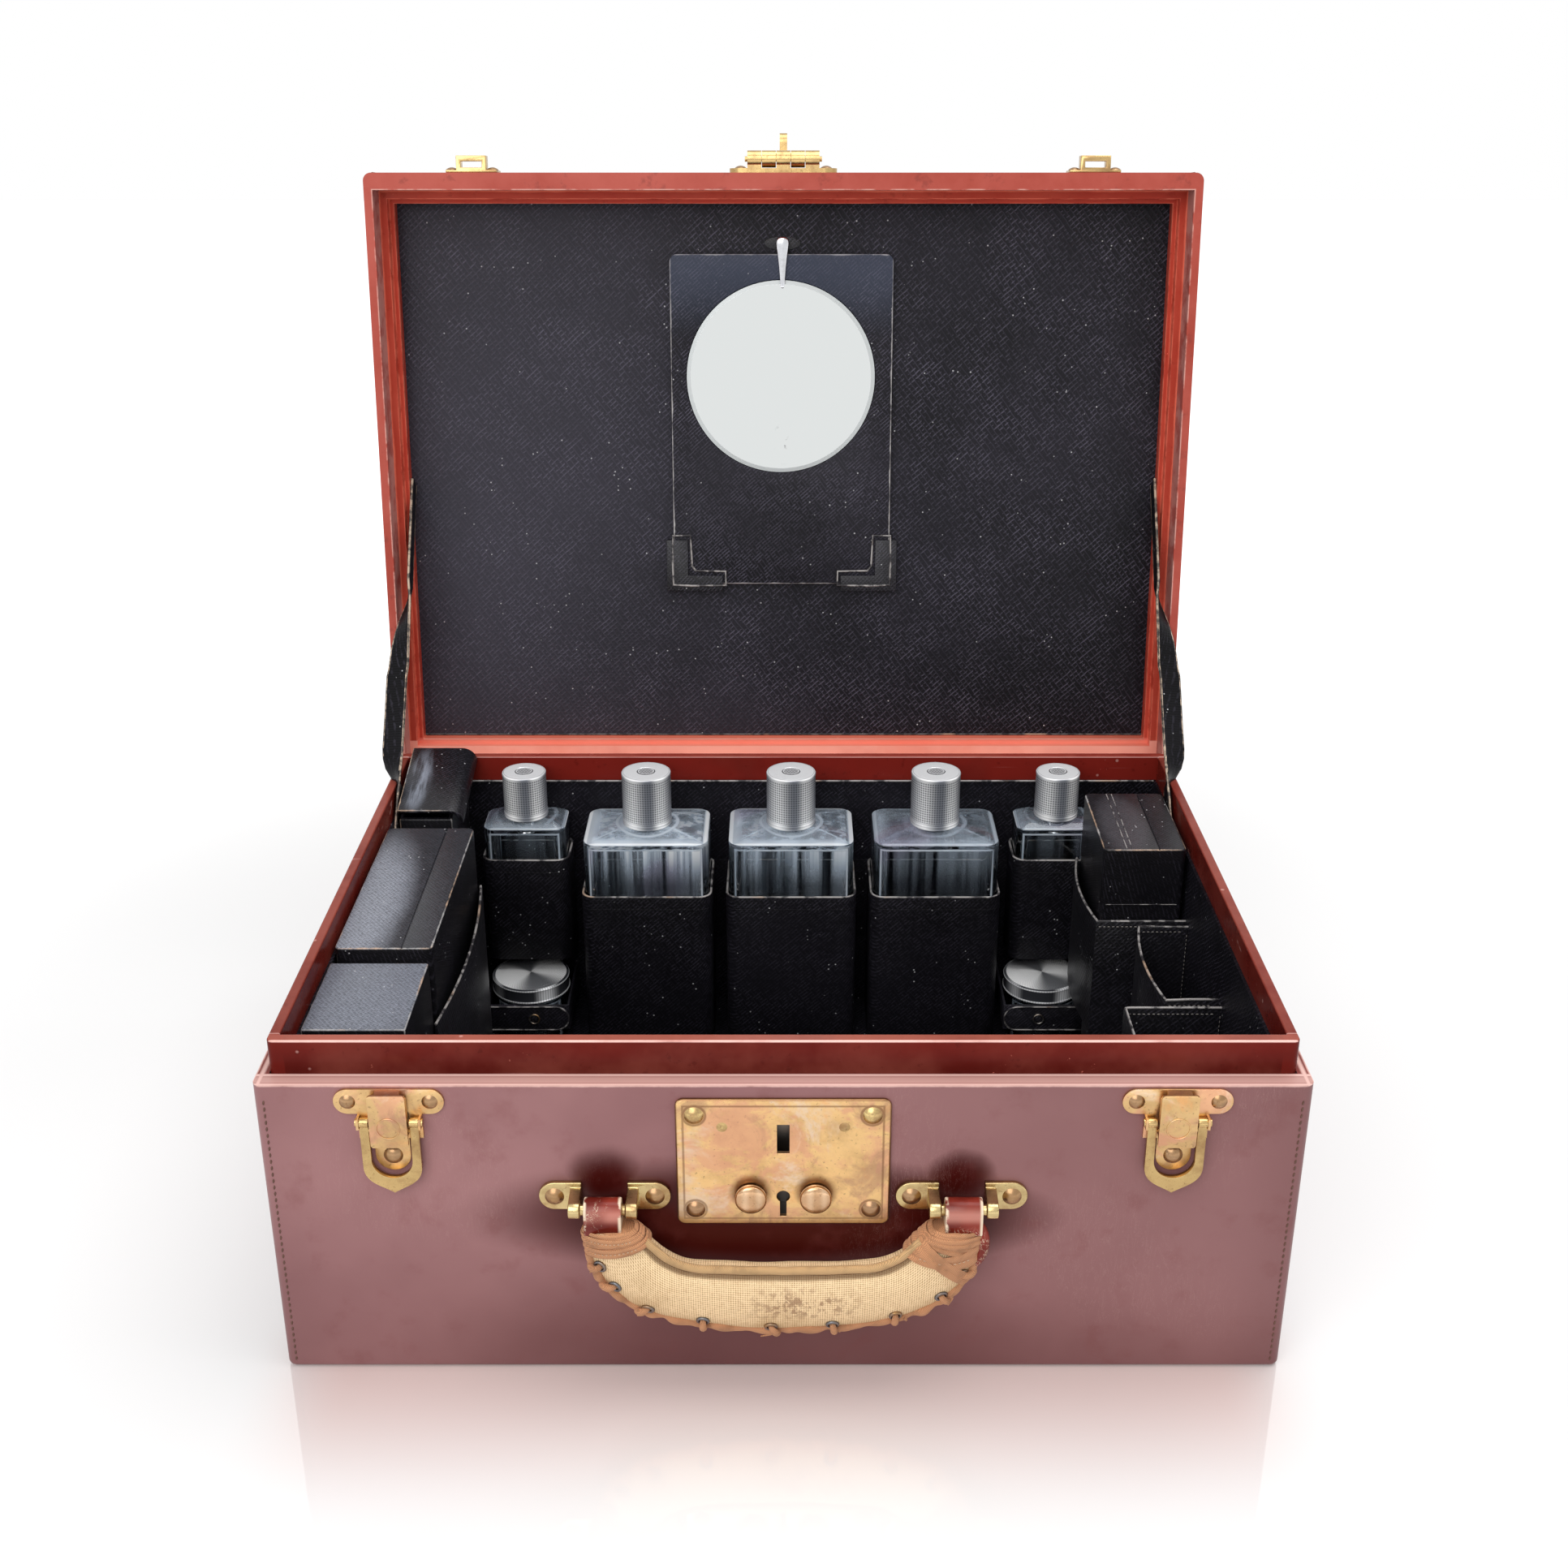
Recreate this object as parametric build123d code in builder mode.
from build123d import *
import os
from math import asin, atan2, cos, radians, sin, sqrt

# Fitted dressing box with its lid standing open. Millimetres.
# +X right, +Y to the back, +Z up. The origin is the centre of the base's underside.

os.makedirs("parts", exist_ok=True)

# ---------------------------------------------------------------- driving dimensions
# base
case_width = 420
case_depth = 311
base_height = 139.5
side_wall = 5
front_wall = 9
back_wall = 7
floor_thickness = 5
corner_radius = 4
bottom_radius = 2
# inner frame, whose top edge is the rim that locates the lid
rim_height = 15
rim_side = 4.6
rim_front = 5.5
rim_back = 5
rim_corner = 3
rim_edge = 0.8
# lining and leather fittings
lining_skin = 1.4
lining_rise = 1.5
leather = 1.4
fit = 0.3
# lid
lid_height = 42
lid_lean = 7.34
lid_gap = 0.7
lid_board = 4
panel_thickness = 2
step_width = 4
bead_width = 2.2
bead_height = 2.8
bead_depth = 22
cove_width = 5
# back hinges
hinge_offset = 0.5
hinge_spacing = 240
hinge_length = 62
hinge_knuckle = 2.6
hinge_pin = 1.2
hinge_leaf_height = 24
hinge_leaf = 1
groove_gap = 0.4
knuckle_gap = 0.3
running_fit = 0.05
# fasteners
rivet_head = 3.9
rivet_dome = 1.9
rivet_shank = 1.4
rivet_length = 4
small_rivet = 3.2
small_dome = 1.4
flush_head = 2.2
flush_dome = 0.3
flush_x = 24.4
flush_z = 121.4
# lock
lock_width = 86
lock_height = 59.5
lock_thickness = 1.8
lock_corner = 3.4
lock_drop = 5.4
lock_screw_x = 35.5
lock_screw_up = 22.4
slot_width = 5
slot_length = 13.5
slot_drop = 23.85
keyhole_radius = 2.7
keyhole_drop = 51.3
keyhole_tail = 9.6
keyhole_tail_width = 2.6
button_x = 13.1
button_radius = 6.4
button_thickness = 4
button_stem = 2
button_travel = 4
lock_case_width = 64
lock_case_height = 53
lock_case_depth = 8.8
lock_case_wall = 0.8
bolt_thickness = 2.2
bolt_half_height = 4.5
# latches
latch_inset = 54
ear_spacing = 32.6
ear_radius = 5.6
latch_plate = 1.3
ear_drop = 6.6
latch_body_width = 25.6
latch_body_drop = 23.5
tail_radius = 7
stud_drop = 31.6
pin_drop = 14.8
pin_standoff = 3.4
pin_radius = 1.1
lug_thickness = 1
lug_reach = 5.5
lug_half_height = 2.4
arm_width = 3.5
lever_width = 23.4
lever_thickness = 2.4
lever_tip_drop = 47.4
lever_slot_drop = 40.3
lever_taper_drop = 35
lever_haunch = 0.6
lever_haunch_rise = 4
lever_eye = 2
link_drop = 3.7
link_radius = 0.8
link_eye = 1.75
tongue_thickness = 1.3
tongue_standoff = 4.9
tongue_fold = 17
tongue_end_drop = 25
tongue_top_drop = 1.1
hook_width = 9.6
hook_thickness = 2
pin_head = 0.6
tongue_side_gap = 0.7
# handle
bracket_x = 72.1
bracket_rivet = 20.3
bracket_ear = 6.4
bracket_plate = 2.2
bracket_height = 88.5
arm_inner = 9.2
bracket_arm = 4.6
bracket_arm_height = 9
bar_standoff = 11
bar_radius = 2.4
loop_width = 15
loop_wall = 2.3
grip_thickness = 13
sleeve_thickness = 20
sleeve_wall = 3
arm_end_radius = 3.6
grip_top = 76
grip_end_x = 79.6
grip_neck_x = 57.5
leg_depth = 9
sleeve_round = 5
# outline of the grip as hung: outer edge left to right, then inner edge right to left
grip_outer = (
    (-79.6, 76), (-75.5, 59), (-62, 42), (-33, 32.6), (0, 30),
    (33, 32.6), (62, 42), (75.5, 59), (79.6, 76),
)
grip_inner = (
    (57.5, 76), (50.5, 67), (38, 62.4), (18, 61.6), (0, 61.5),
    (-18, 61.6), (-38, 62.4), (-50.5, 67), (-57.5, 76),
)
# hasp
hasp_standoff = 6.6
hasp_setback = 5
hasp_barrel = 4.1
hasp_pin_radius = 1.3
hasp_width = 36
hasp_plate_width = 54
hasp_plate_depth = 13
hasp_plate_thickness = 2.2
hasp_web = 3
hasp_tongue_thickness = 2
hasp_tongue_width = 13
hasp_tongue_past_slot = 9
staple_width = 3.8
staple_height = 9
staple_length = 10.6
staple_hole = 2.4
hasp_clearance = 0.3
hasp_tongue_lift = 1
hasp_rivet_x = 21.5
hasp_rivet_up = 8.5
# lid catches
catch_plate_width = 25.6
catch_plate_depth = 14
catch_plate_thickness = 1.3
catch_setback = 2
catch_bridge_width = 15
catch_bridge_depth = 7
catch_bridge_height = 8.2
catch_slot_width = 10.6
catch_slot_height = 3
catch_slot_centre = 4
# mirror on the lid panel
board_centre_x = -1
board_width = 117
board_setback = 39.5
board_height = 173.5
board_thickness = 4.5
mirror_radius = 49.8
mirror_centre_x = -1.4
mirror_drop = 63
mirror_thickness = 2
mirror_proud = 0.2
mirror_bevel = 0.4
mirror_bevel_width = 2
holder_arm = 11.6
holder_foot = 8.6
holder_reach_x = 30.3
holder_reach_up = 28
holder_skin = 1
holder_wall = 3.6
clip_x = -0.5
clip_rise = 5.4
clip_head = 3
clip_length = 22.4
clip_tip = 0.9
clip_thickness = 1.5
clip_air = 0.4
clip_base_width = 19
clip_base_height = 7
clip_base_thickness = 0.8
clip_post = 1.6
# bottle rack
rack_centre_x = 4
row_margin = 17.4
bottle_spacing = 10.8
small_inset = 69
small_spacing = 22.2
shoulder_drop = 14
large_depth = 46.5
large_socket_drop = 43.6
small_socket_drop = 31.6
small_depth = 27
bottle_play = 0.4
socket_skin = 1.3
socket_corner = 7
rack_tab_drop = 1.5
small_socket_bottom = 48.6
# bottles
shoulder_rise = 3
large_corner = 7
small_corner = 5
glass_wall = 4.5
glass_bottom = 8
inner_corner = 3
bottle_foot_round = 2
neck_height = 11
large_neck = 8.5
small_neck = 7.5
neck_bore = 5
large_cap_radius = 12.95
small_cap_radius = 11.6
large_cap_height = 28.9
small_cap_height = 24.8
cap_round = 1.2
cap_foot_height = 2.6
cap_foot_step = 0.5
# jars
jar_spacing = 6.4
jar_centre_x = 1.6
jar_setback = 45.2
jar_room = 21
jar_wall = 4
jar_bottom = 5
jar_height = 26.8
jar_neck_step = 1.2
jar_neck_height = 5
jar_lid_overhang = 1.4
jar_lid_height = 8.5
jar_lid_skin = 1.2
jar_strap_bottom = 18.2
jar_strap_height = 14.7
jar_strap_skin = 1.2
jar_strap_play = 1.7
jar_tab_overrun = 3
snap_radius = 3
snap_height = 1.2
snap_setback = 0.8
# right-hand pockets
pocket_drop = 29.5
pocket_inset = 54
pocket_bulge = 4
rear_pocket_floor = 48
rear_pocket_room = 1.8
rear_pocket_tail = 0.7
rear_pocket_low = 18
middle_pocket_inset = 34.3
middle_pocket_length = 72
pocket_spacing = 6
front_pocket_spacing = 6.1
# left-hand divider
divider_inset = 55.4
divider_bulge = 5
divider_overlap = 3
divider_short = 1.5
divider_drop = 25.5
# leather cases
case_skin = 2
case_outer_inset = 11.4
case_corner = 3
case_edge = 1
left_case_inset = 54.7
front_case_setback = 36
front_case_length = 56.5
front_case_rise = 4
case_spacing = 8.5
flap_spacing = 19.5
middle_case_rise = 6.5
rear_case_setback = 45.7
rear_case_length = 68
rear_case_inset = 13
rear_case_rise = 8.5
case_seam_inset = 13
case_seam_width = 0.8
case_seam_depth = 0.5
flap_case_setback = 64.5
flap_case_inset = 40
flap_case_front_rise = 2
flap_case_back_rise = 19
flap_slope = 13.5
flap_skin = 1.8
flap_overhang = 5
flap_skirt = 6.4
flap_round = 7.6
flap_drape = 6.3
flap_hinge_rise = 0.9
# stay straps
strap_width = 12
strap_thickness = 1.5
strap_setback = 74.5
strap_base_tail = 22
strap_lid_up = 154
strap_lid_depth = 30.5

# ---------------------------------------------------------------- worked-out values
half_width = case_width / 2
half_depth = case_depth / 2
front_face = Plane.XZ.offset(half_depth)
frame_x = half_width - side_wall
frame_front = -half_depth + front_wall
frame_back = half_depth - back_wall
inside_x = frame_x - rim_side
inside_front = frame_front + rim_front
inside_back = frame_back - rim_back
lined_x = inside_x - lining_skin
lined_front = inside_front + lining_skin
lined_back = inside_back - lining_skin
floor_top = floor_thickness + lining_skin
lining_top = base_height + lining_rise
rim_top = base_height + rim_height

# places of the fittings, measured from the outside of the base
large_pitch = (half_width + row_margin) / 3
large_width = large_pitch - bottle_spacing
large_shoulder = base_height - shoulder_drop
large_socket_top = base_height - large_socket_drop
latch_x = half_width - latch_inset
small_offset = half_width - small_inset
small_width = small_offset - large_pitch - small_spacing
small_socket_top = base_height - small_socket_drop
jar_centre_y = half_depth - jar_setback
flap_case_front = half_depth - flap_case_setback
flap_case_inner_x = half_width - flap_case_inset
large_socket_width = large_width + 2 * (bottle_play + socket_skin)
row_end = large_pitch + large_socket_width / 2
jar_radius = (flap_case_inner_x - row_end - jar_room) / 2
jar_lid_radius = jar_radius + jar_lid_overhang
jar_strap_side = jar_radius + jar_strap_play
jar_tab_past = jar_radius + jar_tab_overrun
jar_half_spacing = row_end + jar_spacing + jar_strap_side + jar_strap_skin
snap_inset = jar_radius - snap_setback
flap_case_front_top = base_height + flap_case_front_rise
flap_case_back_top = base_height + flap_case_back_rise
case_outer_x = half_width - case_outer_inset
left_case_inner_x = half_width - left_case_inset
front_case_front = -half_depth + front_case_setback
front_case_back = front_case_front + front_case_length
front_case_top = base_height + front_case_rise
middle_case_front = front_case_back + case_spacing
middle_case_back = flap_case_front - flap_spacing
middle_case_top = base_height + middle_case_rise
rear_case_back = half_depth - rear_case_setback
rear_case_front = rear_case_back - rear_case_length
rear_case_outer_x = half_width - rear_case_inset
rear_case_top = base_height + rear_case_rise
rear_pocket_front = rear_case_front - rear_pocket_room
rear_pocket_back = rear_case_back + rear_pocket_tail
rear_pocket_low_back = rear_pocket_front + rear_pocket_low
middle_pocket_x = half_width - middle_pocket_inset
middle_pocket_back = rear_pocket_front - pocket_spacing
middle_pocket_front = middle_pocket_back - middle_pocket_length
front_pocket_back = middle_pocket_front - front_pocket_spacing
pocket_wall_x = half_width - pocket_inset
pocket_top = base_height - pocket_drop
divider_x = half_width - divider_inset
divider_front = front_case_back - divider_overlap
divider_back = middle_case_back - divider_short
divider_top = base_height - divider_drop
strap_base_y = half_depth - strap_setback

hinge_y = half_depth + hinge_offset
hinge_positions = (-hinge_spacing / 2, hinge_spacing / 2)
lean = radians(lid_lean)
# the lid is drawn on its own mouth plane: x across, y from the hinge to the lid's
# front edge, z out of the mouth
lid_plane = Plane(
    origin=(0, hinge_y, base_height), x_dir=(1, 0, 0), z_dir=(0, -cos(lean), sin(lean))
)
lid_near = hinge_offset
lid_far = hinge_offset + case_depth
lid_side = side_wall - lid_gap
lid_front_wall = front_wall - lid_gap
lid_back_wall = back_wall - lid_gap
cavity_x = half_width - lid_side
cavity_near = lid_near + lid_back_wall
cavity_far = lid_far - lid_front_wall
step_depth = rim_height + lid_gap
panel_level = -(lid_height - lid_board - panel_thickness)
board_high = lid_far - board_setback
board_low = board_high - board_height
mirror_centre_up = board_high - mirror_drop
clip_up = board_high + clip_rise
# the lid's front edge face: x across, y from the mouth to the lid's top, z outwards
lid_edge = Plane(
    origin=lid_plane.from_local_coords(Vector(0, lid_far, 0)),
    x_dir=(1, 0, 0),
    z_dir=lid_plane.y_dir,
)


def block(x_span, y_span, z_span, mode=Mode.ADD):
    """Rectangular solid between two x, two y and two z values of the workplane."""
    spans = (x_span, y_span, z_span)
    middle = tuple((low + high) / 2 for low, high in spans)
    with Locations(middle):
        Box(*(abs(high - low) for low, high in spans), mode=mode)


def rod(radius, x_span, y, z, mode=Mode.ADD):
    """Round rod along x."""
    with Locations(((x_span[0] + x_span[1]) / 2, y, z)):
        Cylinder(radius, abs(x_span[1] - x_span[0]), rotation=(0, 90, 0), mode=mode)


def domed_rivet(head, dome, length):
    """Rivet standing on the workplane: a shallow dome above it and a shank below."""
    ball = (head**2 + dome**2) / (2 * dome)
    half_angle = asin(head / ball) / 2
    dome_middle = (ball * sin(half_angle), dome - ball + ball * cos(half_angle))
    with BuildPart() as rivet:
        with BuildSketch(Plane.XZ):
            with BuildLine():
                Polyline((0, dome), (0, -length), (rivet_shank, -length), (rivet_shank, 0), (head, 0))
                ThreePointArc((head, 0), dome_middle, (0, dome))
            make_face()
        revolve(axis=Axis.Z)
    return rivet.part


def place(piece, plane, spots):
    """Copies of a piece standing on a plane at the given spots."""
    for across, up in spots:
        with Locations(plane * Location((across, up, 0))):
            add(piece)


def save(piece, node_name):
    """Label the finished piece and write its own STEP file."""
    piece.part.label = node_name
    export_step(piece.part, f"parts/{node_name}.step")


def mirrored_name(side):
    return "left" if side < 0 else "right"


# ---------------------------------------------------------------- base
lock_top = base_height - lock_drop
lock_centre = lock_top - lock_height / 2
lock_case_x = lock_case_width / 2
lock_case_z = (lock_centre - lock_case_height / 2, lock_centre + lock_case_height / 2)
lock_case_back = -half_depth + lock_case_depth

with BuildPart() as base_shell:
    block((-half_width, half_width), (-half_depth, half_depth), (0, base_height))
    fillet(base_shell.edges().filter_by(Axis.Z), corner_radius)
    fillet(base_shell.faces().sort_by(Axis.Z)[0].edges(), bottom_radius)
    block(
        (-frame_x, frame_x),
        (frame_front, frame_back),
        (floor_thickness, rim_top),
        Mode.SUBTRACT,
    )
    # mortise for the lock case, and the two hinge grooves along the back edge
    block(
        (-lock_case_x, lock_case_x),
        (-half_depth - 1, frame_front),
        lock_case_z,
        Mode.SUBTRACT,
    )
    for hinge_x in hinge_positions:
        groove = (hinge_x - hinge_length / 2 - fit, hinge_x + hinge_length / 2 + fit)
        rod(hinge_knuckle + groove_gap, groove, hinge_y, base_height, Mode.SUBTRACT)
save(base_shell, "base_shell")

with BuildPart() as base_frame:
    block((-frame_x, frame_x), (frame_front, frame_back), (floor_thickness, rim_top))
    fillet(base_frame.edges().filter_by(Axis.Z), rim_corner)
    block(
        (-inside_x, inside_x), (inside_front, inside_back), (0, rim_top + 1), Mode.SUBTRACT
    )
    fillet(base_frame.faces().sort_by(Axis.Z)[-1].edges(), rim_edge)
save(base_frame, "base_frame")

with BuildPart() as base_lining:
    block(
        (-inside_x, inside_x), (inside_front, inside_back), (floor_thickness, lining_top)
    )
    block(
        (-lined_x, lined_x), (lined_front, lined_back), (floor_top, rim_top), Mode.SUBTRACT
    )
save(base_lining, "base_lining")

# ---------------------------------------------------------------- lid
with BuildPart(lid_plane) as lid_shell:
    block((-half_width, half_width), (lid_near, lid_far), (-lid_height, 0))
    fillet(lid_shell.edges().filter_by(Axis((0, 0, 0), lid_plane.z_dir)), corner_radius)
    top_face = lid_shell.faces().sort_by(Axis((0, 0, 0), lid_plane.z_dir))[0]
    fillet(top_face.edges(), bottom_radius)
    block(
        (-cavity_x, cavity_x),
        (cavity_near, cavity_far),
        (-(lid_height - lid_board), 1),
        Mode.SUBTRACT,
    )
    for hinge_x in hinge_positions:
        groove = (hinge_x - hinge_length / 2 - fit, hinge_x + hinge_length / 2 + fit)
        rod(hinge_knuckle + groove_gap, groove, 0, 0, Mode.SUBTRACT)
save(lid_shell, "lid_shell")

with BuildPart(lid_plane) as lid_moulding:
    for depth_span, width in (
        ((-step_depth, -bead_depth), step_width),
        ((-bead_depth, -bead_depth - bead_height), step_width + bead_width),
        ((-bead_depth - bead_height, panel_level), cove_width),
    ):
        with BuildSketch(lid_plane.offset(depth_span[1])) as ring:
            with Locations((0, (cavity_near + cavity_far) / 2)):
                Rectangle(2 * cavity_x, cavity_far - cavity_near)
                Rectangle(
                    2 * (cavity_x - width),
                    cavity_far - cavity_near - 2 * width,
                    mode=Mode.SUBTRACT,
                )
        extrude(ring.sketch, amount=depth_span[0] - depth_span[1])
save(lid_moulding, "lid_moulding")

with BuildPart(lid_plane) as lid_panel:
    block(
        (-cavity_x, cavity_x),
        (cavity_near, cavity_far),
        (panel_level - panel_thickness, panel_level),
    )
save(lid_panel, "lid_panel")

# ---------------------------------------------------------------- back hinges
knuckle_length = (hinge_length - 4 * knuckle_gap) / 5
hinge_hole = hinge_pin + running_fit


def hinge_knuckles(hinge_x, numbers, axis_y, axis_z):
    """The numbered knuckles of one five-knuckle barrel."""
    for number in numbers:
        start = hinge_x - hinge_length / 2 + number * (knuckle_length + knuckle_gap)
        rod(hinge_knuckle, (start, start + knuckle_length), axis_y, axis_z)


with BuildPart() as base_hinge_leaves:
    for hinge_x in hinge_positions:
        block(
            (hinge_x - hinge_length / 2, hinge_x + hinge_length / 2),
            (half_depth, half_depth + hinge_leaf),
            (base_height - hinge_leaf_height, base_height - hinge_knuckle - groove_gap),
        )
        for number in (0, 2, 4):
            start = hinge_x - hinge_length / 2 + number * (knuckle_length + knuckle_gap)
            block(
                (start, start + knuckle_length),
                (half_depth, half_depth + hinge_leaf),
                (base_height - hinge_knuckle - groove_gap, base_height),
            )
        hinge_knuckles(hinge_x, (0, 2, 4), hinge_y, base_height)
        bore = (hinge_x - hinge_length, hinge_x + hinge_length)
        rod(hinge_pin, bore, hinge_y, base_height, Mode.SUBTRACT)
save(base_hinge_leaves, "base_hinge_leaves")

with BuildPart(lid_plane) as lid_hinge_leaves:
    for hinge_x in hinge_positions:
        block(
            (hinge_x - hinge_length / 2, hinge_x + hinge_length / 2),
            (lid_near - hinge_leaf, lid_near),
            (-hinge_leaf_height, -hinge_knuckle - groove_gap),
        )
        for number in (1, 3):
            start = hinge_x - hinge_length / 2 + number * (knuckle_length + knuckle_gap)
            block(
                (start, start + knuckle_length),
                (lid_near - hinge_leaf, lid_near),
                (-hinge_knuckle - groove_gap, 0),
            )
        hinge_knuckles(hinge_x, (1, 3), 0, 0)
        rod(hinge_hole, (hinge_x - hinge_length, hinge_x + hinge_length), 0, 0, Mode.SUBTRACT)
save(lid_hinge_leaves, "lid_hinge_leaves")

# ---------------------------------------------------------------- lock
plate_front = half_depth + lock_thickness
slot_z = base_height - slot_drop
keyhole_z = base_height - keyhole_drop
stem_room = button_stem + running_fit

with BuildPart() as lock_plate:
    with BuildSketch(front_face):
        with Locations((0, lock_centre)):
            RectangleRounded(lock_width, lock_height, lock_corner)
    extrude(amount=lock_thickness)
    chamfer(lock_plate.faces().sort_by(Axis.Y)[0].edges(), lock_thickness / 3)
    with BuildSketch(front_face):
        with Locations((0, slot_z)):
            Rectangle(slot_width, slot_length)
        with Locations((0, keyhole_z)):
            Circle(keyhole_radius)
        with Locations((0, keyhole_z - keyhole_tail / 2)):
            Rectangle(keyhole_tail_width, keyhole_tail)
        for side in (-1, 1):
            with Locations((side * (button_x + button_travel / 2), keyhole_z)):
                SlotCenterToCenter(button_travel, 2 * stem_room)
    extrude(amount=lock_thickness, mode=Mode.SUBTRACT)
save(lock_plate, "lock_plate")

with BuildPart() as lock_case:
    block(
        (-lock_case_x, lock_case_x), (-half_depth, lock_case_back), lock_case_z
    )
    block(
        (-lock_case_x + lock_case_wall, lock_case_x - lock_case_wall),
        (-half_depth - 1, lock_case_back - lock_case_wall),
        (lock_case_z[0] + lock_case_wall, lock_case_z[1] - lock_case_wall),
        Mode.SUBTRACT,
    )
save(lock_case, "lock_case")

# each button carries its stem and a bolt that rises beside the slot, behind the plate
bolt_front = -half_depth + 1
bolt_inner = button_x - 9.1
bolt_outer = button_x + 3.4
riser_width = 4.5
for side in (-1, 1):
    x = side * button_x
    with BuildPart() as lock_button:
        with BuildSketch(Plane.XZ.offset(plate_front + fit)):
            with Locations((x, keyhole_z)):
                Circle(button_radius)
        extrude(amount=button_thickness)
        fillet(lock_button.faces().sort_by(Axis.Y)[0].edges(), button_thickness * 0.4)
        with BuildSketch(Plane.XZ.offset(-bolt_front)):
            with Locations((x, keyhole_z)):
                Circle(button_stem)
        extrude(amount=plate_front + fit + bolt_front)
        block(
            (side * bolt_inner, side * bolt_outer),
            (bolt_front, bolt_front + bolt_thickness),
            (keyhole_z - bolt_half_height, keyhole_z + bolt_half_height),
        )
        block(
            (side * bolt_inner, side * (bolt_inner + riser_width)),
            (bolt_front, bolt_front + bolt_thickness),
            (keyhole_z, slot_z + bolt_half_height),
        )
    save(lock_button, f"lock_button_{mirrored_name(side)}")

plain_rivet = domed_rivet(rivet_head, rivet_dome, rivet_length)
pin_rivet = domed_rivet(small_rivet, small_dome, rivet_length)
flush_rivet = domed_rivet(flush_head, flush_dome, lock_thickness)
domed_snap = domed_rivet(snap_radius, snap_height, jar_strap_skin)
with BuildPart() as lock_fasteners:
    screw_spots = [
        (x, z)
        for x in (-lock_screw_x, lock_screw_x)
        for z in (lock_centre - lock_screw_up, lock_centre + lock_screw_up)
    ]
    lock_face = Plane.XZ.offset(plate_front)
    place(plain_rivet, lock_face, screw_spots)
    place(flush_rivet, lock_face, [(-flush_x, flush_z), (flush_x, flush_z)])
save(lock_fasteners, "lock_fasteners")

# ---------------------------------------------------------------- latches
pin_y = -half_depth - pin_standoff
pin_z = base_height - pin_drop
link_z = pin_z - link_drop
stud_z = base_height - stud_drop
ear_z = base_height - ear_drop
lug_outer = latch_body_width / 2
lug_inner = lug_outer - lug_thickness
arm_outer = lever_width / 2
arm_inside = arm_outer - arm_width
plate_face = Plane.XZ.offset(half_depth + latch_plate)
latch_sides = (-1, 1)

with BuildPart() as latch_plates:
    for side in latch_sides:
        x = side * latch_x
        with BuildSketch(front_face):
            with Locations((x, ear_z)):
                SlotCenterToCenter(ear_spacing, 2 * ear_radius)
            with Locations((x, (ear_z + base_height - latch_body_drop) / 2)):
                Rectangle(latch_body_width, ear_z - base_height + latch_body_drop)
            with Locations((x, (ear_z + stud_z) / 2)):
                Rectangle(2 * tail_radius, ear_z - stud_z)
            with Locations((x, stud_z)):
                Circle(tail_radius)
        extrude(amount=latch_plate)
        for hand in (-1, 1):
            block(
                (x + hand * lug_inner, x + hand * lug_outer),
                (-half_depth - lug_reach, -half_depth),
                (pin_z - lug_half_height, pin_z + lug_half_height),
            )
        rod(pin_radius, (x - lug_outer, x + lug_outer), pin_y, pin_z, Mode.SUBTRACT)
save(latch_plates, "latch_plates")

with BuildPart() as latch_pins:
    for side in latch_sides:
        for hand in (-1, 1):
            x = side * latch_x
            rod(pin_radius, (x + hand * arm_inside, x + hand * lug_outer), pin_y, pin_z)
            head_end = lug_outer + pin_head
            rod(pin_radius + pin_head, (x + hand * lug_outer, x + hand * head_end), pin_y, pin_z)
save(latch_pins, "latch_pins")

lever_back = -pin_y - lever_thickness / 2
lever_tip_z = base_height - lever_tip_drop
lever_slot_z = base_height - lever_slot_drop
lever_taper_z = base_height - lever_taper_drop
lever_haunch_z = lever_tip_z + lever_haunch_rise
for side in latch_sides:
    x = side * latch_x
    with BuildPart() as latch_lever:
        with BuildSketch(Plane.XZ.offset(lever_back)):
            with BuildLine():
                Polyline(
                    (x - arm_outer, lever_taper_z),
                    (x - arm_outer, pin_z),
                    (x + arm_outer, pin_z),
                    (x + arm_outer, lever_taper_z),
                )
                Spline(
                    (x + arm_outer, lever_taper_z),
                    (x + arm_outer * lever_haunch, lever_haunch_z),
                    (x, lever_tip_z),
                    tangents=[(0, -1), (-1, -0.7)],
                )
                Spline(
                    (x, lever_tip_z),
                    (x - arm_outer * lever_haunch, lever_haunch_z),
                    (x - arm_outer, lever_taper_z),
                    tangents=[(-1, 0.7), (0, 1)],
                )
            make_face()
            slot_bottom = lever_slot_z + arm_inside
            with Locations((x, slot_bottom)):
                Circle(arm_inside, mode=Mode.SUBTRACT)
            with Locations((x, (slot_bottom + base_height) / 2)):
                Rectangle(2 * arm_inside, base_height - slot_bottom, mode=Mode.SUBTRACT)
        extrude(amount=lever_thickness)
        for hand in (-1, 1):
            rod(lever_eye, (x + hand * arm_inside, x + hand * arm_outer), pin_y, pin_z)
            link_end = arm_inside - tongue_side_gap - tongue_thickness
            rod(link_radius, (x + hand * link_end, x + hand * arm_inside), pin_y, link_z)
        rod(pin_radius + running_fit, (x - arm_outer, x + arm_outer), pin_y, pin_z, Mode.SUBTRACT)
    save(latch_lever, f"latch_lever_{mirrored_name(side)}")

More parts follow.
